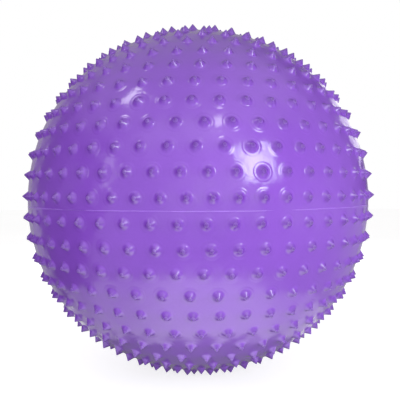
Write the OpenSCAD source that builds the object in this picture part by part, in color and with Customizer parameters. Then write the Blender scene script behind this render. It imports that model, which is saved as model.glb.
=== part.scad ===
// Inflatable massage ball: a hollow vinyl skin covered in rows of short spikes,
// a parting line left by the two-part mould, and an inflation valve at the top.
// Millimetres. The origin is the centre of the ball, +Z points up through the valve,
// and -Y is the front.

/* [Ball] */
// Diameter of the blown-up skin, without the spikes
ball_d = 650; // [600:10:750]
// Thickness of the skin when blown up
skin_wall = 0.9; // [0.7:0.1:1.4]
// How far the parting line lies below the middle of the ball
seam_drop = 8.5; // [0:0.5:12]
// Width of the moulded ridge along the parting line
seam_w = 1.8; // [1:0.1:2.4]

/* [Spikes] */
// Height of a spike above the skin
spike_h = 10; // [8:0.5:11]
// Angle between a spike's side and its axis
spike_angle = 40; // [38:1:45]
// Radius of the rounded tip
tip_r = 1.2; // [0.8:0.1:1.6]
// Radius of the hollow curve between a spike and its pad
flare_r = 5.5; // [4:0.5:6]
// Diameter of the low flat pad that each spike stands on
pad_d = 29; // [28:0.5:30]
// Height of the pad above the highest point of the skin under it
pad_h = 0.1; // [0.05:0.05:0.3]

/* [Rows of spikes] */
// Angle between one row and the next, seen from the centre
row_step = 6.65; // [6.4:0.05:6.8]
// Distance between neighbours in a row
spike_pitch = 40.8; // [38:0.2:44]
// Spikes in the row just above the parting line, which is the closest set
seam_row_spikes = 54; // [50:1:56]

/* [Valve] */
// Diameter of the seat where it comes through the skin
seat_d = 32; // [28:1:36]
// Diameter of the recess that the plug's head lies in
recess_d = 23; // [20:0.5:24]
// Depth of that recess below the top of the ball
recess_h = 2.8; // [2.4:0.1:3.4]
// Diameter of the air hole, which a pump's nozzle fits
bore_d = 9; // [8:0.1:10]
// Length of the neck inside the ball
neck_h = 18; // [14:1:24]
// Diameter of the plug's head
plug_head_d = 21.6; // [18:0.2:22]
// Thickness of the plug's head
plug_head_h = 2.2; // [1.6:0.1:2.4]
// Length of the plug's stem below its head
plug_stem_h = 23; // [18:1:24]

/* [Hidden] */
$fn = 96;

VIOLET = [0.58, 0.36, 0.83];
DEEP_VIOLET = [0.50, 0.28, 0.76];
MILK_WHITE = [0.93, 0.92, 0.94];

// Skin and parting line
ball_r = ball_d / 2;
inner_r = ball_r - skin_wall;
seam_z = -seam_drop;
seam_angle = asin(seam_z / ball_r);
seam_ring_r = sqrt(ball_r * ball_r - seam_z * seam_z);
seam_lip = 0.35;

// Spike outline: a cone with a ball tip, and a hollow curve that meets the pad
root_h = 0.6;
pad_r = pad_d / 2;
tip_z = spike_h - tip_r;
apex_z = tip_z + tip_r / sin(spike_angle);
tip_join = [tip_r * cos(spike_angle), tip_z + tip_r * sin(spike_angle)];
foot_r = (flare_r + (apex_z - pad_h - flare_r) * sin(spike_angle)) / cos(spike_angle);
flare_join = [foot_r - flare_r * cos(spike_angle), pad_h + flare_r * (1 - sin(spike_angle))];

// Rows are counted away from the parting line, and spikes from the front of the ball.
// A turn is how far a row is set round from the front, as a share of its own pitch.
FRONT = -90;
UPPER_TURNS = [0.57, 0.37, 0.93, 0.23, 0.8, 0.9, 0.1, 0.2, 0.6, 0.2, 0.5, 0.8, 0.3];
LOWER_TURNS = [0.29, 0.47, 0.2, 0.7, 0.8, 0.1, 0.7, 0.3, 0.6, 0.1, 0.5, 0.8, 0.5];

// Valve
seat_r = seat_d / 2;
recess_r = recess_d / 2;
bore_r = bore_d / 2;
flange_r = seat_r + 7;
flange_h = 3;
neck_r = bore_r + 4;
recess_z = ball_r - recess_h;
flange_z = recess_z - flange_h;
rim_r = (seat_r + recess_r) / 2;
rim_w = 2.2;
notch_r = 3.5;
stem_gap = 0.05;
stem_r = bore_r - stem_gap;
waist_depth = 0.7;
waist_h = 5;
waist_top = 3;
collar_h = 2;
head_edge = 0.8;
dimple_r = 0.9;
DOME_FN = 1440;
over = 1;

// ---- Skin ----

module hollow_ball() {
    difference() {
        sphere(ball_r);
        sphere(inner_r);
    }
}

// Everything above the parting line
module above_seam() {
    translate([0, 0, seam_z]) cylinder(r = ball_r + over, h = 2 * ball_r);
}

module skin_upper() {
    color(VIOLET) difference() {
        intersection() {
            hollow_ball();
            above_seam();
        }
        translate([0, 0, flange_z]) cylinder(r = seat_r, h = 2 * over + ball_r - flange_z);
    }
}

module skin_lower() {
    color(VIOLET) difference() {
        hollow_ball();
        above_seam();
    }
}

// The low ridge that the mould's two halves leave where they meet
module parting_line() {
    color(DEEP_VIOLET) translate([0, 0, seam_z])
        rotate_extrude() translate([seam_ring_r + seam_lip - seam_w / 2, 0]) circle(seam_w / 2);
}

// ---- Spikes ----

module spike_outline() {
    difference() {
        union() {
            polygon([
                [0, -root_h], [pad_r, -root_h], [pad_r, pad_h], [foot_r, pad_h],
                flare_join, tip_join, [0, tip_join[1]]
            ]);
            intersection() {
                translate([0, tip_z]) circle(tip_r);
                translate([0, tip_join[1]]) square(2 * tip_r);
            }
        }
        translate([foot_r, pad_h + flare_r]) circle(flare_r);
    }
}

module spike() {
    translate([0, 0, ball_r]) rotate_extrude() spike_outline();
}

// One row: spikes evenly round the ball at one height, all pointing away from the centre
module spike_row(height_angle, count, turn) {
    for (i = [0 : count - 1])
        rotate([0, 90 - height_angle, FRONT + 360 * (i + turn) / count])
            spike();
}

function spikes_at(angle) = round(2 * PI * ball_r * cos(angle) / spike_pitch);

module spikes_upper(n) {
    angle = seam_angle + (n - 0.5) * row_step;
    count = n == 1 ? seam_row_spikes : spikes_at(angle);
    color(VIOLET) spike_row(angle, count, UPPER_TURNS[n - 1]);
}

module spikes_lower(n) {
    angle = seam_angle - (n - 0.5) * row_step;
    color(VIOLET) spike_row(angle, spikes_at(angle), LOWER_TURNS[n - 1]);
}

// ---- Valve ----

// A thick moulded-in seat: collar through the skin, flange behind it, neck inside
module valve_seat() {
    color(DEEP_VIOLET) difference() {
        rotate_extrude() seat_outline();
        translate([0, -recess_r, recess_z]) cylinder(r = notch_r, h = recess_h + rim_w);
    }
}

module seat_outline() {
    difference() {
        union() {
            collar_outline(ball_r, seat_r);
            collar_outline(inner_r, flange_r);
            translate([0, flange_z - neck_h]) square([neck_r, neck_h + over]);
            translate([rim_r, sqrt(ball_r * ball_r - rim_r * rim_r)]) circle(rim_w / 2);
        }
        translate([0, recess_z]) square([recess_r, recess_h + rim_w]);
        translate([0, flange_z - neck_h - over]) square([bore_r, neck_h + flange_h + 2 * over]);
    }
}

// A disc of this radius whose top follows a ball of radius dome_r
module collar_outline(dome_r, radius) {
    intersection() {
        circle(dome_r, $fn = DOME_FN);
        translate([0, flange_z]) square([radius, ball_r]);
    }
}

// Stopper: a flat head with a rounded edge and a dimple, and a stem with two waists
module valve_plug() {
    color(MILK_WHITE) translate([0, 0, recess_z])
        rotate_extrude() difference() {
            union() {
                plug_head_outline();
                plug_stem_outline();
            }
            translate([0, plug_head_h]) circle(dimple_r);
        }
}

module plug_head_outline() {
    head_r = plug_head_d / 2;
    square([head_r - head_edge, plug_head_h]);
    square([head_r, plug_head_h - head_edge]);
    translate([head_r - head_edge, plug_head_h - head_edge]) circle(head_edge);
}

module plug_stem_outline() {
    straight_h = plug_stem_h - stem_r;
    difference() {
        union() {
            translate([0, -straight_h]) square([stem_r, straight_h + over]);
            intersection() {
                translate([0, -straight_h]) circle(stem_r);
                translate([0, -plug_stem_h]) square(stem_r);
            }
        }
        for (top = [waist_top, waist_top + waist_h + collar_h])
            translate([stem_r - waist_depth, -top - waist_h]) square([stem_r, waist_h]);
    }
}

skin_upper();
skin_lower();
parting_line();
valve_seat();
valve_plug();
spikes_upper(1);  // spikes_upper_01
spikes_upper(2);  // spikes_upper_02
spikes_upper(3);  // spikes_upper_03
spikes_upper(4);  // spikes_upper_04
spikes_upper(5);  // spikes_upper_05
spikes_upper(6);  // spikes_upper_06
spikes_upper(7);  // spikes_upper_07
spikes_upper(8);  // spikes_upper_08
spikes_upper(9);  // spikes_upper_09
spikes_upper(10);  // spikes_upper_10
spikes_upper(11);  // spikes_upper_11
spikes_upper(12);  // spikes_upper_12
spikes_upper(13);  // spikes_upper_13
spikes_lower(1);  // spikes_lower_01
spikes_lower(2);  // spikes_lower_02
spikes_lower(3);  // spikes_lower_03
spikes_lower(4);  // spikes_lower_04
spikes_lower(5);  // spikes_lower_05
spikes_lower(6);  // spikes_lower_06
spikes_lower(7);  // spikes_lower_07
spikes_lower(8);  // spikes_lower_08
spikes_lower(9);  // spikes_lower_09
spikes_lower(10);  // spikes_lower_10
spikes_lower(11);  // spikes_lower_11
spikes_lower(12);  // spikes_lower_12
spikes_lower(13);  // spikes_lower_13
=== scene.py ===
"""The looks of an inflatable massage ball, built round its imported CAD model.

The CAD rows say where each spike stands and which way it points. Each half of the ball
becomes one moulded skin, in which every spike grows out of the wall through its own flare.
Everything is in metres, in the CAD model's frame: the origin is the middle of the ball,
+Z points up through the valve, and -Y is the front, where the camera stands.
"""

import math

import bmesh
import bpy
import numpy as np
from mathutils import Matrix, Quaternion, Vector


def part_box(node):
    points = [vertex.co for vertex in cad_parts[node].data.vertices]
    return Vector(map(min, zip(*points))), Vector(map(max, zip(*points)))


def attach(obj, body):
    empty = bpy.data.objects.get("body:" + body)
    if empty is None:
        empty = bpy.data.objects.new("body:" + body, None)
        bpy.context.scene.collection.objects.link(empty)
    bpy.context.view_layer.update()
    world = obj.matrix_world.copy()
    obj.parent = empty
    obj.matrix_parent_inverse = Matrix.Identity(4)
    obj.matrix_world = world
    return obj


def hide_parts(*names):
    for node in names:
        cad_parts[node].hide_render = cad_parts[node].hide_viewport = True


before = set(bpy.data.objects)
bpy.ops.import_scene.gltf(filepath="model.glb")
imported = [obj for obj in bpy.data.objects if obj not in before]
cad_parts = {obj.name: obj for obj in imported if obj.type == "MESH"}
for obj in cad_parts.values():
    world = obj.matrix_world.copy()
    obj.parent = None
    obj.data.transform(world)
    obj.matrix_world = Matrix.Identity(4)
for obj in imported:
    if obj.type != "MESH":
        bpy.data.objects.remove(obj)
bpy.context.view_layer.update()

MM = 0.001

# ---- Sizes. Those that the frame holds are read from it ----

BALL_R = -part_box("skin_lower")[0].z
SEAM_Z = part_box("skin_lower")[1].z
FLOOR_Z = min(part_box(name)[0].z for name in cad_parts)
WALL = 0.9 * MM

UPPER_ROWS = sorted(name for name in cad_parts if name.startswith("spikes_upper"))
LOWER_ROWS = sorted(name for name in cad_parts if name.startswith("spikes_lower"))

TIP_R = 1.2 * MM
FLARE_R = 5.5 * MM
SPIKE_ANGLE = math.radians(40)

# The pad under a spike is too low to mesh, so the material raises it, with a soft edge
PAD_R = 14.5 * MM
PAD_H = 0.28 * MM
PAD_EDGE = 1.9 * MM

SEAT_R = 16 * MM
RECESS_R = 11.5 * MM
RECESS_H = 2.8 * MM
FLANGE_H = 3 * MM
NECK_H = 18 * MM
NECK_R = 8.5 * MM
BORE_R = 4.5 * MM
NOTCH_R = 3.5 * MM
STEM_R = 4.45 * MM

# ---- Points and meshes ----


def direction(azimuth, height):
    """Unit vectors for an azimuth, from +X towards +Y, and a height above the middle."""
    azimuth, height = np.broadcast_arrays(azimuth, height)
    level = np.cos(height)
    return np.stack([level * np.cos(azimuth), level * np.sin(azimuth), np.sin(height)], -1)


def unit(v):
    return v / np.linalg.norm(v, axis=-1, keepdims=True)


def turns(count, start=0.0):
    """The azimuths of this many points, evenly round a ring."""
    return start + np.arange(count) * 2 * math.pi / count


def node_points(name):
    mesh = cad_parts[name].data
    points = np.empty(len(mesh.vertices) * 3)
    mesh.vertices.foreach_get("co", points)
    return points.reshape(-1, 3)


class Waves:
    """A smooth random field, the sum of a few plane waves, mostly within plus or minus height."""

    def __init__(self, rng, wavelength, height, count=14):
        self.ways = unit(rng.normal(size=(count, 3))) * (2 * math.pi / wavelength)
        self.ways *= rng.uniform(0.7, 1.3, (count, 1))
        self.starts = rng.uniform(0, 2 * math.pi, count)
        self.height = height

    def at(self, points):
        total = np.sin(points @ self.ways.T + self.starts).sum(-1)
        return self.height * total / math.sqrt(len(self.starts))


class Shape:
    """Collects points and faces, and makes one closed mesh of them."""

    def __init__(self):
        self.points, self.marks = np.zeros((4096, 3)), np.zeros((4096, 2))
        self.count, self.faces = 0, []

    def add(self, points, raised=0.0, reach=0.0):
        """Adds points and returns their numbers. The other values are kept with each one."""
        points = np.asarray(points, float).reshape(-1, 3)
        end = self.count + len(points)
        while end > len(self.points):
            self.points = np.concatenate([self.points, np.zeros_like(self.points)])
            self.marks = np.concatenate([self.marks, np.zeros_like(self.marks)])
        self.points[self.count:end] = points
        self.marks[self.count:end, 0] = raised
        self.marks[self.count:end, 1] = reach
        numbers = np.arange(self.count, end)
        self.count = end
        return numbers

    def strip(self, a, b):
        """Four-sided faces between two closed rings of as many points."""
        corners = [a, np.roll(a, -1), np.roll(b, -1), b]
        self.faces.extend(np.stack(corners, -1).tolist())

    def fan(self, ring, middle):
        corners = [ring, np.roll(ring, -1), np.full(len(ring), middle)]
        self.faces.extend(np.stack(corners, -1).tolist())

    def zip_rings(self, upper, lower):
        """Three-sided faces between two level rings, whatever their numbers of points."""
        top, top_at = self.opened(upper)
        low, low_at = self.opened(lower)
        i = j = 0
        while i < len(top) - 1 or j < len(low) - 1:
            top_done, low_done = i == len(top) - 1, j == len(low) - 1
            if top_done or (not low_done and low_at[j + 1] <= top_at[i + 1]):
                self.faces.append([low[j], low[j + 1], top[i]])
                j += 1
            else:
                self.faces.append([top[i + 1], top[i], low[j]])
                i += 1

    def opened(self, ring):
        """A ring in order of azimuth, with its first point again at the end."""
        points = self.points[ring]
        azimuth = np.arctan2(points[:, 1], points[:, 0])
        order = np.argsort(azimuth)
        azimuth = np.append(azimuth[order], azimuth[order[0]] + 2 * math.pi)
        return np.append(ring[order], ring[order[0]]).tolist(), azimuth.tolist()

    def build(self, name, material, sharp=50):
        mesh = bpy.data.meshes.new(name)
        mesh.from_pydata(self.points[:self.count].tolist(), [], self.faces)
        for k, key in enumerate(("raised", "reach")):
            values = self.marks[:self.count, k].astype(np.float32)
            mesh.attributes.new(key, "FLOAT", "POINT").data.foreach_set("value", values)
        bm = bmesh.new()
        bm.from_mesh(mesh)
        bmesh.ops.remove_doubles(bm, verts=bm.verts, dist=0.001 * MM)
        bmesh.ops.recalc_face_normals(bm, faces=bm.faces)
        bm.to_mesh(mesh)
        bm.free()
        mesh.shade_smooth()
        mesh.set_sharp_from_angle(angle=math.radians(sharp))
        mesh.materials.append(material)
        piece = bpy.data.objects.new(name, mesh)
        bpy.context.scene.collection.objects.link(piece)
        return piece


# ---- The spikes' outline ----

RING = 24
SIDE = RING // 4
SPIKE_H = np.linalg.norm(node_points(UPPER_ROWS[0]), axis=1).max() - BALL_R
TIP_Z = SPIKE_H - TIP_R
APEX_Z = TIP_Z + TIP_R / math.sin(SPIKE_ANGLE)
FOOT_R = (FLARE_R + (APEX_Z - FLARE_R) * math.sin(SPIKE_ANGLE)) / math.cos(SPIKE_ANGLE)
FLARE_STEPS = (0.35, 0.68, 1)

# The CAD rows: how near its highest point a spike's tip is, and less than the gap to the next
TIP_BAND = 0.2 * MM
SPIKE_GAP = math.radians(3)

# How much the spikes differ from each other: where the tip leans to, and the share in height
LEAN = 0.15 * MM
HEIGHT_SPREAD = 0.012


def spike_profile():
    """(distance from the axis, height above the skin) from outside the pad up a spike."""
    outline = [(PAD_R + MM, 0), (FOOT_R + 0.9 * MM, 0), (FOOT_R, 0)]
    for share in FLARE_STEPS:
        a = (math.pi / 2 - SPIKE_ANGLE) * share
        outline.append((FOOT_R - FLARE_R * math.sin(a), FLARE_R * (1 - math.cos(a))))
    for a in (SPIKE_ANGLE, (SPIKE_ANGLE + math.pi / 2) / 2):
        outline.append((TIP_R * math.cos(a), TIP_Z + TIP_R * math.sin(a)))
    return outline


PROFILE = spike_profile()


def spike_axes(node):
    """Unit vectors along the spikes of one CAD row, in order round the ball."""
    points = node_points(node)
    reach = np.linalg.norm(points, axis=1)
    tips = points[reach > reach.max() - TIP_BAND]
    azimuth = np.arctan2(tips[:, 1], tips[:, 0])
    order = np.argsort(azimuth)
    gaps = np.diff(np.append(azimuth[order], azimuth[order[0]] + 2 * math.pi))
    ends = np.flatnonzero(gaps > SPIKE_GAP) + 1
    tips = np.roll(tips[order], -ends[0], axis=0)
    groups = np.split(tips, ends[1:] - ends[0])
    return unit(np.array([group.mean(0) for group in groups]))


# ---- The skin ----

# Half the gap between two rows' cells, and the distance from a spike kept at its cell's rim
ROW_GAP = math.radians(0.25)
CELL_R = 19.5 * MM

# Inner face: points in a ring, the step from ring to ring, and how near the pole they go
INNER_RING = 96
INNER_STEP = math.radians(7.5)
INNER_END = math.radians(84)
MOUTH_RING = 48
POLE_RING = math.radians(-89)


class Skin:
    """One half of the skin: a cell of wall round each spike, stitched row to row."""

    def __init__(self, rng):
        self.shape, self.rng = Shape(), rng
        self.swell = Waves(rng, 90 * MM, 0.35 * MM)
        self.pucker = Waves(rng, 28 * MM, 0.07 * MM)

    def surface(self, ways):
        """Points of the skin in these directions, with the faint waves of blown-up vinyl."""
        at = ways * BALL_R
        lift = self.swell.at(at) + self.pucker.at(at)
        return at + ways * lift[..., None]

    def ring(self, azimuths, height):
        return self.shape.add(self.surface(direction(azimuths, height)), reach=CELL_R)

    def row(self, axes, low, high):
        """The cells of one row, between two heights. Returns its lowest and highest ring."""
        count = len(axes)
        pitch = 2 * math.pi / count
        first = math.atan2(axes[0, 1], axes[0, 0]) - pitch / 2
        bottom = self.ring(turns(count * SIDE, first), low)
        top = self.ring(turns(count * SIDE, first), high)
        up = low + (high - low) * np.arange(1, SIDE) / SIDE
        sides = [self.ring(first + i * pitch, up) for i in range(count)]
        middle = SIDE // 2 - 1
        for i, axis in enumerate(axes):
            here, end = i * SIDE, (i + 1) * SIDE % len(top)
            left, right = sides[i], sides[(i + 1) % count]
            across = slice(here + 1, here + SIDE)
            rim = [right[middle:], [top[end]], top[across][::-1], [top[here]], left[::-1]]
            rim += [[bottom[here]], bottom[across], [bottom[end]], right[:middle]]
            self.cell(axis, np.concatenate(rim))
        return bottom, top

    def cell(self, axis, rim):
        """One spike and the wall round it, out to the rim of its cell."""
        shape = self.shape
        east = unit(np.cross([0, 0, 1], axis))
        north = np.cross(axis, east)
        angles = turns(RING)[:, None]
        spokes = np.cos(angles) * east + np.sin(angles) * north
        lean = self.rng.normal(0, LEAN, 2) @ np.array([east, north])
        tall = self.rng.normal(1, HEIGHT_SPREAD)
        outer = rim
        for radius, height in PROFILE:
            share = height / SPIKE_H
            way = unit(axis * math.sqrt(BALL_R**2 - radius**2) + spokes * radius)
            up = axis * height * tall + lean * share
            ring = shape.add(self.surface(way) + up, share, radius)
            shape.strip(outer, ring)
            outer = ring
        apex = shape.add(self.surface(axis) + axis * SPIKE_H * tall + lean, 1.0)
        shape.fan(outer, apex[0])

    def inside(self, edge, side):
        """The wall's inner face, from the seam's edge to near the pole. Returns its end ring."""
        shape = self.shape
        ways = unit(shape.points[edge])
        lip = shape.add(ways * (BALL_R - WALL))
        shape.strip(edge, lip)
        ring, height = lip, math.asin(SEAM_Z / BALL_R) + side * INNER_STEP
        while abs(height) < INNER_END:
            ahead = shape.add(direction(turns(INNER_RING), height) * (BALL_R - WALL))
            if len(ring) == len(ahead):
                shape.strip(ring, ahead)
            else:
                shape.zip_rings(*((ahead, ring) if side > 0 else (ring, ahead)))
            ring, height = ahead, height + side * INNER_STEP
        return ring


def half_skin(name, rows, side, rng, material):
    """A half of the ball: side is 1 for the upper one and -1 for the lower one."""
    skin = Skin(rng)
    axes = [spike_axes(node) for node in rows]
    heights = [math.asin(a[:, 2].mean()) for a in axes]
    seam = math.asin(SEAM_Z / BALL_R)
    limits = [seam] + [(a + b) / 2 for a, b in zip(heights, heights[1:])]
    limits.append(2 * heights[-1] - limits[-1])
    edge = last = None
    for row, near, far in zip(axes, limits, limits[1:]):
        near_gap = 0 if edge is None else side * ROW_GAP
        ends = sorted((near + near_gap, far - side * ROW_GAP))
        rings = skin.row(row, *ends)[::side]
        if edge is None:
            edge = rings[0]
        else:
            skin.shape.zip_rings(*(rings[0], last)[::side])
        last = rings[1]
    inner = skin.inside(edge, side)
    if side > 0:
        close_at_valve(skin, last, inner)
    else:
        close_at_pole(skin, last, inner)
    return skin.shape.build(name, material)


def close_at_valve(skin, outer, inner):
    """Ends the upper half at the round hole that the valve's seat fills."""
    mouth = math.acos(SEAT_R / BALL_R)
    rim = skin.ring(turns(MOUTH_RING), mouth)
    skin.shape.zip_rings(rim, outer)
    below = skin.shape.add(direction(turns(MOUTH_RING), mouth) * (BALL_R - WALL))
    skin.shape.strip(rim, below)
    skin.shape.zip_rings(below, inner)


def close_at_pole(skin, outer, inner):
    shape = skin.shape
    start = math.atan2(*shape.points[outer[0]][1::-1])
    half = skin.ring(turns(len(outer), start), POLE_RING)
    shape.strip(outer, half)
    shape.fan(half, shape.add(skin.surface(np.array([0.0, 0.0, -1.0])))[0])
    shape.fan(inner, shape.add([0, 0, WALL - BALL_R])[0])


# ---- The parting ridge ----

RIDGE_RING = 1080
RIDGE_SIDES = 12


def parting_ridge(rng, material):
    """The thin ridge of vinyl squeezed out where the mould's halves met. It wanders a little."""
    low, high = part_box("parting_line")
    half_w = (high.z - low.z) / 2
    core_r = high.x - half_w
    around = direction(turns(RIDGE_RING), 0)
    drift = Waves(rng, 350 * MM, 0.35 * MM).at(around * BALL_R)
    drift += Waves(rng, 40 * MM, 0.08 * MM).at(around * BALL_R)
    proud = Waves(rng, 60 * MM, 0.10 * MM).at(around * BALL_R)
    shape = Shape()
    first = last = None
    for a in turns(RIDGE_SIDES):
        reach = core_r + half_w * math.cos(a) + proud * max(math.cos(a), 0)
        points = around * reach[:, None]
        points[:, 2] = SEAM_Z + half_w * math.sin(a) + drift
        ring = shape.add(points)
        if last is None:
            first = ring
        else:
            shape.strip(last, ring)
        last = ring
    shape.strip(last, first)
    return shape.build("parting_ridge", material)


# ---- The valve ----

LATHE_RING = 96
CORNER_STEPS = 5
RECESS_Z = BALL_R - RECESS_H
FLANGE_Z = RECESS_Z - FLANGE_H
BEAD_FOOT = BALL_R - 0.4 * MM
BEAD_TOP = BALL_R + 0.75 * MM


def rounded(corners):
    """An outline of (distance from the axis, height) through corners (x, z, fillet radius)."""
    outline = []
    last = len(corners) - 1
    for k, (x, z, fillet) in enumerate(corners):
        if fillet == 0:
            outline.append((x, z))
            continue
        at = Vector((x, z))
        back = (Vector(corners[k - 1][:2]) - at).normalized()
        ahead = (Vector(corners[0 if k == last else k + 1][:2]) - at).normalized()
        half = back.angle(ahead) / 2
        centre = at + (back + ahead).normalized() * (fillet / math.sin(half))
        start = at + back * (fillet / math.tan(half)) - centre
        end = at + ahead * (fillet / math.tan(half)) - centre
        a = math.atan2(start.y, start.x)
        turn = (math.atan2(end.y, end.x) - a + math.pi) % (2 * math.pi) - math.pi
        for step in range(CORNER_STEPS + 1):
            b = a + turn * step / CORNER_STEPS
            outline.append((centre.x + fillet * math.cos(b), centre.y + fillet * math.sin(b)))
    return outline


def mm_corners(corners):
    """Corners given as (x, height above the recess's floor, fillet) in millimetres."""
    return [(x * MM, RECESS_Z + z * MM, fillet * MM) for x, z, fillet in corners]


def lathe(name, outline, material, bend=None):
    """Turns an outline round the valve's axis. An end on the axis closes the shape."""
    shape = Shape()
    rings = []
    azimuths = turns(LATHE_RING)
    for x, z in outline:
        if x < 0.001 * MM:
            rings.append(shape.add([0, 0, z])[0])
            continue
        reach, rise = np.full(LATHE_RING, x), np.full(LATHE_RING, z)
        if bend:
            reach, rise = bend(azimuths, reach, rise)
        points = [reach * np.cos(azimuths), reach * np.sin(azimuths), rise]
        rings.append(shape.add(np.stack(points, -1)))
    if np.ndim(rings[0]):
        rings.append(rings[0])
    for a, b in zip(rings, rings[1:]):
        if np.ndim(a) and np.ndim(b):
            shape.strip(a, b)
        else:
            shape.fan(*((a, b) if np.ndim(a) else (b, a)))
    return shape.build(name, material)


def finger_notch(azimuths, reach, rise):
    """Pushes the recess's side and its bead out round a finger notch at the front."""
    away = np.cos(azimuths + math.pi / 2) * RECESS_R
    inside = away**2 - RECESS_R**2 + NOTCH_R**2
    side = away + np.sqrt(np.maximum(inside, 0))
    push = np.where((inside > 0) & (away > 0), np.maximum(side - RECESS_R, 0), 0)
    edge = RECESS_R + NOTCH_R + 0.6 * MM
    share = np.clip((edge - reach) / (edge - RECESS_R), 0, 1)
    share = share * (reach > RECESS_R - 0.9 * MM) * (rise > RECESS_Z + 0.1 * MM)
    dip = 0.85 * push / NOTCH_R
    lowered = np.where((rise > BEAD_FOOT) & (share > 0), rise - (rise - BEAD_FOOT) * dip, rise)
    return reach + push * share, lowered


def valve_seat(material):
    """The thick seat: a beaded collar in the skin, a flange behind it, and the neck."""
    skin_in = BALL_R - WALL
    flange_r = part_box("valve_seat")[1].x
    corners = [
        (BORE_R, RECESS_Z, 0.6 * MM),
        (RECESS_R, RECESS_Z, 0.8 * MM),
        (RECESS_R, BEAD_FOOT, 0.5 * MM),
        (RECESS_R + 1.1 * MM, BEAD_FOOT, 0.3 * MM),
        (RECESS_R + 1.5 * MM, BEAD_TOP, 0.6 * MM),
        (SEAT_R - 1.5 * MM, BEAD_TOP, 0.6 * MM),
        (SEAT_R - 1.1 * MM, BEAD_FOOT, 0.3 * MM),
        (SEAT_R, BEAD_FOOT, 0.35 * MM),
        (SEAT_R, math.sqrt(skin_in**2 - SEAT_R**2), 0),
        (flange_r, math.sqrt(skin_in**2 - flange_r**2), 0.8 * MM),
        (flange_r, FLANGE_Z, 1.2 * MM),
        (NECK_R, FLANGE_Z, 1.5 * MM),
        (NECK_R, FLANGE_Z - NECK_H, 1.0 * MM),
        (BORE_R, FLANGE_Z - NECK_H, 0.5 * MM),
    ]
    return lathe("valve_seat_moulding", rounded(corners), material, finger_notch)


def valve_stopper(material):
    """The plug: a ringed, dimpled head and a stem with two waists."""
    low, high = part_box("valve_plug")
    head_r, head_h = high.x / MM, (high.z - RECESS_Z) / MM
    stem_r, stem_h = STEM_R / MM, (RECESS_Z - low.z) / MM
    waist_r = stem_r - 0.7
    corners = [
        (0, head_h - 0.8, 0),
        (0.9, head_h - 0.8, 0.3),
        (1.5, head_h, 0.3),
        (head_r - 3.4, head_h, 0.2),
        (head_r - 3.1, head_h - 0.35, 0.12),
        (head_r - 2.3, head_h - 0.35, 0.12),
        (head_r - 2.0, head_h, 0.2),
        (head_r, head_h, 0.8),
        (head_r, 0, 0.4),
        (stem_r, 0, 0.5),
    ]
    for top, bottom in ((-3, -8), (-10, -15)):
        corners.append((stem_r, top, 0.3))
        corners.append((waist_r, top - 0.5, 0.3))
        corners.append((waist_r, bottom + 0.5, 0.3))
        corners.append((stem_r, bottom, 0.3))
    corners.append((stem_r, -stem_h, stem_r * 0.95))
    corners.append((0, -stem_h, 0))
    return lathe("valve_stopper", rounded(mm_corners(corners)), material)


# ---- Materials ----


class Nodes:
    """A material's nodes. Each call makes one and joins it up."""

    def __init__(self, name):
        self.material = bpy.data.materials.new(name)
        self.material.use_nodes = True
        self.tree = self.material.node_tree
        self.shader = self.tree.nodes["Principled BSDF"]
        self.place = self.make("ShaderNodeTexCoord").outputs["Object"]

    def make(self, kind, **settings):
        node = self.tree.nodes.new(kind)
        for key, value in settings.items():
            setattr(node, key, value)
        return node

    def feed(self, socket, value):
        if isinstance(value, bpy.types.NodeSocket):
            self.tree.links.new(value, socket)
        else:
            socket.default_value = value

    def noise(self, size, detail=2.0, roughness=0.5):
        """Noise from 0 to 1, whose lumps are about this size in metres."""
        node = self.make("ShaderNodeTexNoise")
        self.feed(node.inputs["Vector"], self.place)
        node.inputs["Scale"].default_value = 1 / size
        node.inputs["Detail"].default_value = detail
        node.inputs["Roughness"].default_value = roughness
        return node.outputs["Fac"]

    def attribute(self, name):
        return self.make("ShaderNodeAttribute", attribute_name=name).outputs["Fac"]

    def span(self, value, low, high, from_low=0.0, from_high=1.0, kind="LINEAR"):
        node = self.make("ShaderNodeMapRange", interpolation_type=kind)
        self.feed(node.inputs["Value"], value)
        limits = {"From Min": from_low, "From Max": from_high, "To Min": low, "To Max": high}
        for key, number in limits.items():
            node.inputs[key].default_value = number
        return node.outputs["Result"]

    def math(self, operation, a, b):
        node = self.make("ShaderNodeMath", operation=operation)
        self.feed(node.inputs[0], a)
        self.feed(node.inputs[1], b)
        return node.outputs["Value"]

    def mix(self, factor, a, b):
        node = self.make("ShaderNodeMix", data_type="RGBA")
        colours = [socket for socket in node.inputs if socket.type == "RGBA"]
        self.feed(node.inputs["Factor"], factor)
        self.feed(colours[0], a)
        self.feed(colours[1], b)
        return next(socket for socket in node.outputs if socket.type == "RGBA")

    def bump(self, height, strength, distance, normal=None):
        node = self.make("ShaderNodeBump")
        node.inputs["Strength"].default_value = strength
        node.inputs["Distance"].default_value = distance
        self.feed(node.inputs["Height"], height)
        if normal is not None:
            self.feed(node.inputs["Normal"], normal)
        return node.outputs["Normal"]

    def set(self, **values):
        for key, value in values.items():
            self.feed(self.shader.inputs[key.replace("_", " ")], value)


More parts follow.
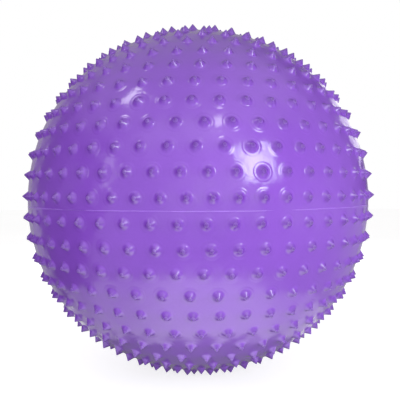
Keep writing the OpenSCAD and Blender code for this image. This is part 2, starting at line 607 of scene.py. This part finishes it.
def vinyl(name, deep, light, gloss, grain=1.0):
    """Soft moulded vinyl: a cloudy colour, duller on the spikes and darker towards their tips by
    painted shade, and a faint peel.
    """
    n = Nodes(name)
    cloud = n.span(n.noise(0.11, 3.0), 0.0, 1.0, 0.3, 0.7)
    speck = n.span(n.noise(0.004, 3.0), 0.0, 1.0, 0.3, 0.7)
    tone = n.math("ADD", n.math("MULTIPLY", cloud, 0.7), n.math("MULTIPLY", speck, 0.3))
    body = n.mix(tone, (*deep, 1), (*light, 1))
    raised = n.attribute("raised")
    # Painted shade: the spikes' colour darkens towards the tips, standing in for their shaded
    # cores.
    tips = tuple(0.78 * channel for channel in deep)
    colour = n.mix(n.span(raised, 0.0, 1.0, 0.15, 0.85), body, (*tips, 1))
    rough = n.math("ADD", n.span(n.noise(0.03, 4.0), gloss - 0.04, gloss + 0.06, 0.3, 0.7),
                   n.span(raised, 0.0, 0.22, 0.35, 0.8))
    pad = n.span(n.attribute("reach"), 1.0, 0.0, PAD_R - PAD_EDGE, PAD_R + PAD_EDGE, "SMOOTHSTEP")
    stand = n.bump(pad, 1.0, PAD_H)
    crease = n.bump(n.noise(0.015, 3.0), 1.0, 0.35 * MM, stand)
    peel = n.bump(n.noise(0.0035, 2.0), 0.25 * grain, 0.05 * MM, crease)
    fine = n.bump(n.noise(0.0009, 2.0), 0.25 * grain, 0.02 * MM, peel)
    n.set(Base_Color=colour, Roughness=rough, Normal=fine)
    n.shader.inputs["IOR"].default_value = 1.6
    n.shader.inputs["Specular IOR Level"].default_value = 0.9
    return n.material


def milky_plastic(name):
    """The plug's soft white plastic, with a faint grain and a warm cast in the thick parts."""
    n = Nodes(name)
    tone = n.span(n.noise(0.006, 3.0), 0.0, 1.0, 0.3, 0.7)
    colour = n.mix(tone, (0.80, 0.78, 0.80, 1), (0.87, 0.86, 0.88, 1))
    rough = n.span(n.noise(0.002, 3.0), 0.32, 0.46, 0.3, 0.7)
    n.set(Base_Color=colour, Roughness=rough, Normal=n.bump(n.noise(0.0007, 2.0), 0.2, 0.02 * MM))
    n.shader.inputs["Subsurface Weight"].default_value = 0.25
    n.shader.inputs["Subsurface Scale"].default_value = 0.002
    return n.material


def floor_paint():
    """A plain pale floor to the camera. To other rays it gives painted light: glowing pools round
    the ball like a lit table in a darker room, a painted dark wedge and a painted contact shadow.
    """
    n = Nodes("studio_floor")
    tone = n.span(n.noise(0.8, 2.0), 0.0, 1.0, 0.3, 0.7)
    n.set(Base_Color=n.mix(tone, (0.40, 0.40, 0.41, 1), (0.44, 0.44, 0.45, 1)), Roughness=0.8)
    n.shader.inputs["Specular IOR Level"].default_value = 0.1
    n.shader.inputs["Emission Color"].default_value = (1, 1, 1, 1)
    n.shader.inputs["Emission Strength"].default_value = 0.75
    # Painted light: the floor's glow, darker in a painted dark wedge to the left and brighter in
    # painted pools.
    sides = []
    for x, y in DARK_SIDES:
        side = n.make("ShaderNodeVectorMath", operation="DOT_PRODUCT")
        n.feed(side.inputs[0], n.place)
        side.inputs[1].default_value = (x, y, 0)
        sides.append(side.outputs["Value"])
    total = n.span(n.math("MINIMUM", *sides), FAR_GLOW, DARK_GLOW, 0.0, 0.12)
    for x, y, full, gone, glow in POOLS:
        away = n.make("ShaderNodeVectorMath", operation="DISTANCE")
        n.feed(away.inputs[0], n.place)
        away.inputs[1].default_value = (x, y, 0)
        pool = n.span(away.outputs["Value"], glow, 0.0, full, gone, "SMOOTHSTEP")
        total = n.math("ADD", total, pool)
    # Painted contact shadow: the floor's glow is darkened round the point under the ball.
    reach = n.make("ShaderNodeVectorMath", operation="LENGTH")
    n.feed(reach.inputs[0], n.place)
    ripple = n.span(n.noise(0.045, 2.0), -CONTACT_SHADOW_RIPPLE, CONTACT_SHADOW_RIPPLE, 0.3, 0.7)
    edge = n.math("ADD", reach.outputs["Value"], ripple)
    total = n.math("MULTIPLY", total, n.span(edge, CONTACT_SHADOW_SHARE, 1.0, *CONTACT_SHADOW_RADII))
    shine, both = n.make("ShaderNodeEmission"), n.make("ShaderNodeMixShader")
    path = n.make("ShaderNodeLightPath").outputs
    spill = n.span(path["Is Diffuse Ray"], 1.0, FLOOR_SPILL)
    n.feed(shine.inputs["Strength"], n.math("MULTIPLY", total, spill))
    n.feed(both.inputs["Fac"], path["Is Camera Ray"])
    n.feed(both.inputs[1], shine.outputs["Emission"])
    n.feed(both.inputs[2], n.shader.outputs["BSDF"])
    n.feed(n.tree.nodes["Material Output"].inputs["Surface"], both.outputs["Shader"])
    return n.material


# ---- The studio ----

# The painted glow that the floor shines back at the ball: far off, in the painted dark wedge to
# the left between two lines through the middle, and in round painted pools of light. A pool has
# its middle, the radii at which it starts to fade and has gone, and its radiance. Only a share of
# it spills on as soft light.
FLOOR_SPILL = 0.5
FAR_GLOW = 0.45
DARK_GLOW = 0.08
DARK_SIDES = ((-0.545, 0.839), (-0.423, -0.906))
POOLS = (
    (-0.04, -0.06, 0.40, 0.47, 0.47),
    (0.04, -0.36, 0.10, 0.34, 0.72),
)

# A painted contact shadow: under the ball only this share of the glow is left.
# It grows back between two radii, which ripple.
CONTACT_SHADOW_SHARE = 0.3
CONTACT_SHADOW_RADII = (0.21, 0.24)
CONTACT_SHADOW_RIPPLE = 0.025

# The room's light, and broad glows on top of it: the way to each one's middle, the angles
# from there at which it starts to fade and has gone, and its radiance
ROOM = 0.10
GLOWS = (
    (-8, 5, 40, 58, 0.38),
    (60, 15, 32, 80, 0.28),
    (-40, 82, 32, 64, 0.44),
    (-170, 8, 26, 48, 0.32),
)

# Lights that show in the gloss: their way (azimuth and height), distance, width, height,
# radiance and colour
WHITE = (1, 1, 1)
DAYLIGHT = (0.90, 1.0, 1.0)
PANELS = (
    ("window", 36.5, 21.5, 2.7, 0.62, 0.62, 3.2, DAYLIGHT),
    ("window_frame", 36.5, 21.5, 2.71, 0.98, 0.92, 2.6, DAYLIGHT),
    ("lamp", 15, 47.7, 2.7, 0.38, 0.34, 3.6, WHITE),
    ("skylight", -65, 55, 2.4, 0.46, 0.38, 3.6, WHITE),
    ("doorway", -56, 18.6, 2.8, 0.25, 0.9, 1.3, WHITE),
    ("back_panel", 146, 17, 2.6, 1.35, 0.8, 1.2, WHITE),
)

# Soft lights that give the vinyl its brightness, but no gloss, in the same order
FILLS = (
    ("front_fill", 6, 0, 1.15, 1.2, 0.6, 4.1, WHITE),
    ("left_fill", -76, -4, 2.4, 1.8, 2.0, 3.7, WHITE),
    ("right_fill", 70, -10, 1.6, 1.2, 1.0, 6.2, WHITE),
    ("back_fill", 185, 6, 2.4, 1.8, 1.8, 2.4, WHITE),
)


# The camera: its lens in millimetres, its shift, its height and roll in degrees, and the
# ball's radius as a share of its distance
LENS = 50.55
SHIFT = (0.005, -0.0005)
CAMERA_HEIGHT = 1.4
CAMERA_ROLL = -0.25
BALL_SHARE = 0.29

FLOOR_R = 8


def towards(azimuth, height):
    """A unit vector for degrees round from the camera, right being positive, and above level."""
    a, h = math.radians(azimuth), math.radians(height)
    return Vector((math.sin(a) * math.cos(h), -math.cos(a) * math.cos(h), math.sin(h)))


def softbox(name, azimuth, height, distance, width, tall, radiance, colour):
    """A rectangular light that faces the ball. Its brightness is its radiance."""
    light = bpy.data.lights.new(name, "AREA")
    light.shape, light.size, light.size_y = "RECTANGLE", width, tall
    light.energy = radiance * math.pi * width * tall
    light.color = colour
    lamp = bpy.data.objects.new(name, light)
    way = towards(azimuth, height)
    lamp.location = way * distance
    lamp.rotation_mode = "QUATERNION"
    lamp.rotation_quaternion = way.to_track_quat("Z", "Y")
    bpy.context.scene.collection.objects.link(lamp)
    return lamp


def room_light():
    """A white backdrop for the camera, and a dimmer room round the ball for its reflections."""
    world = bpy.data.worlds.new("studio")
    bpy.context.scene.world = world
    world.use_nodes = True
    nodes, links = world.node_tree.nodes, world.node_tree.links
    nodes.clear()
    way = nodes.new("ShaderNodeTexCoord").outputs["Generated"]
    total = None
    for azimuth, height, full, gone, radiance in GLOWS:
        dot = nodes.new("ShaderNodeVectorMath")
        dot.operation = "DOT_PRODUCT"
        links.new(way, dot.inputs[0])
        dot.inputs[1].default_value = towards(azimuth, height)
        glow = nodes.new("ShaderNodeMapRange")
        glow.interpolation_type = "SMOOTHSTEP"
        links.new(dot.outputs["Value"], glow.inputs["Value"])
        glow.inputs["From Min"].default_value = math.cos(math.radians(gone))
        glow.inputs["From Max"].default_value = math.cos(math.radians(full))
        glow.inputs["To Max"].default_value = radiance
        both = nodes.new("ShaderNodeMath")
        links.new(glow.outputs["Result"], both.inputs[0])
        if total is None:
            both.inputs[1].default_value = ROOM
        else:
            links.new(total, both.inputs[1])
        total = both.outputs["Value"]
    seen = nodes.new("ShaderNodeBackground")
    seen.inputs["Color"].default_value = (1, 1, 1, 1)
    room = nodes.new("ShaderNodeBackground")
    room.inputs["Color"].default_value = (1, 0.98, 0.96, 1)
    links.new(total, room.inputs["Strength"])
    path, mix = nodes.new("ShaderNodeLightPath"), nodes.new("ShaderNodeMixShader")
    links.new(path.outputs["Is Camera Ray"], mix.inputs["Fac"])
    links.new(room.outputs["Background"], mix.inputs[1])
    links.new(seen.outputs["Background"], mix.inputs[2])
    links.new(mix.outputs["Shader"], nodes.new("ShaderNodeOutputWorld").inputs["Surface"])


def studio_floor():
    at = (0, 0, FLOOR_Z)
    bpy.ops.mesh.primitive_circle_add(vertices=96, radius=FLOOR_R, fill_type="NGON", location=at)
    floor = bpy.context.object
    floor.name = "studio_floor"
    floor.data.materials.append(floor_paint())


def camera():
    """Stands a little above the ball's middle, square to the parting line."""
    data = bpy.data.cameras.new("camera")
    data.sensor_width, data.lens = 36, LENS
    data.shift_x, data.shift_y = SHIFT
    cam = bpy.data.objects.new("camera", data)
    way = towards(0, CAMERA_HEIGHT)
    cam.location = way * (BALL_R / BALL_SHARE)
    cam.rotation_mode = "QUATERNION"
    roll = Quaternion((0, 0, 1), math.radians(CAMERA_ROLL))
    cam.rotation_quaternion = way.to_track_quat("Z", "Y") @ roll
    bpy.context.scene.collection.objects.link(cam)
    bpy.context.scene.camera = cam


# ---- The object ----


def carry(piece, body, slot, *nodes):
    """Says which body a piece rides on, and the CAD nodes it stands for. Its finish, the slot, is
    not used.
    """
    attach(piece, body)
    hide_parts(*nodes)


camera()
rng = np.random.default_rng(7)
skin_vinyl = vinyl("violet_vinyl", (0.164, 0.046, 0.415), (0.187, 0.055, 0.458), gloss=0.12)
# The ridge's vinyl is paler than the skin's: a painted highlight along the seam.
ridge_vinyl = vinyl("ridge_vinyl", (0.24, 0.09, 0.54), (0.28, 0.115, 0.60), gloss=0.3)
seat_vinyl = vinyl("seat_vinyl", (0.15, 0.042, 0.40), (0.18, 0.055, 0.45), gloss=0.25, grain=2.0)

upper = half_skin("upper_skin", UPPER_ROWS, 1, rng, skin_vinyl)
lower = half_skin("lower_skin", LOWER_ROWS, -1, rng, skin_vinyl)
carry(upper, "ball", "skin", "skin_upper", *UPPER_ROWS)
carry(lower, "ball", "skin", "skin_lower", *LOWER_ROWS)
carry(parting_ridge(rng, ridge_vinyl), "ball", "seam", "parting_line")
carry(valve_seat(seat_vinyl), "ball", "seat", "valve_seat")
carry(valve_stopper(milky_plastic("milky_plastic")), "plug", "plug", "valve_plug")

studio_floor()
room_light()
for panel in PANELS:
    softbox(*panel)
for fill in FILLS:
    softbox(*fill).visible_glossy = False
bpy.context.scene.view_settings.view_transform = "Standard"
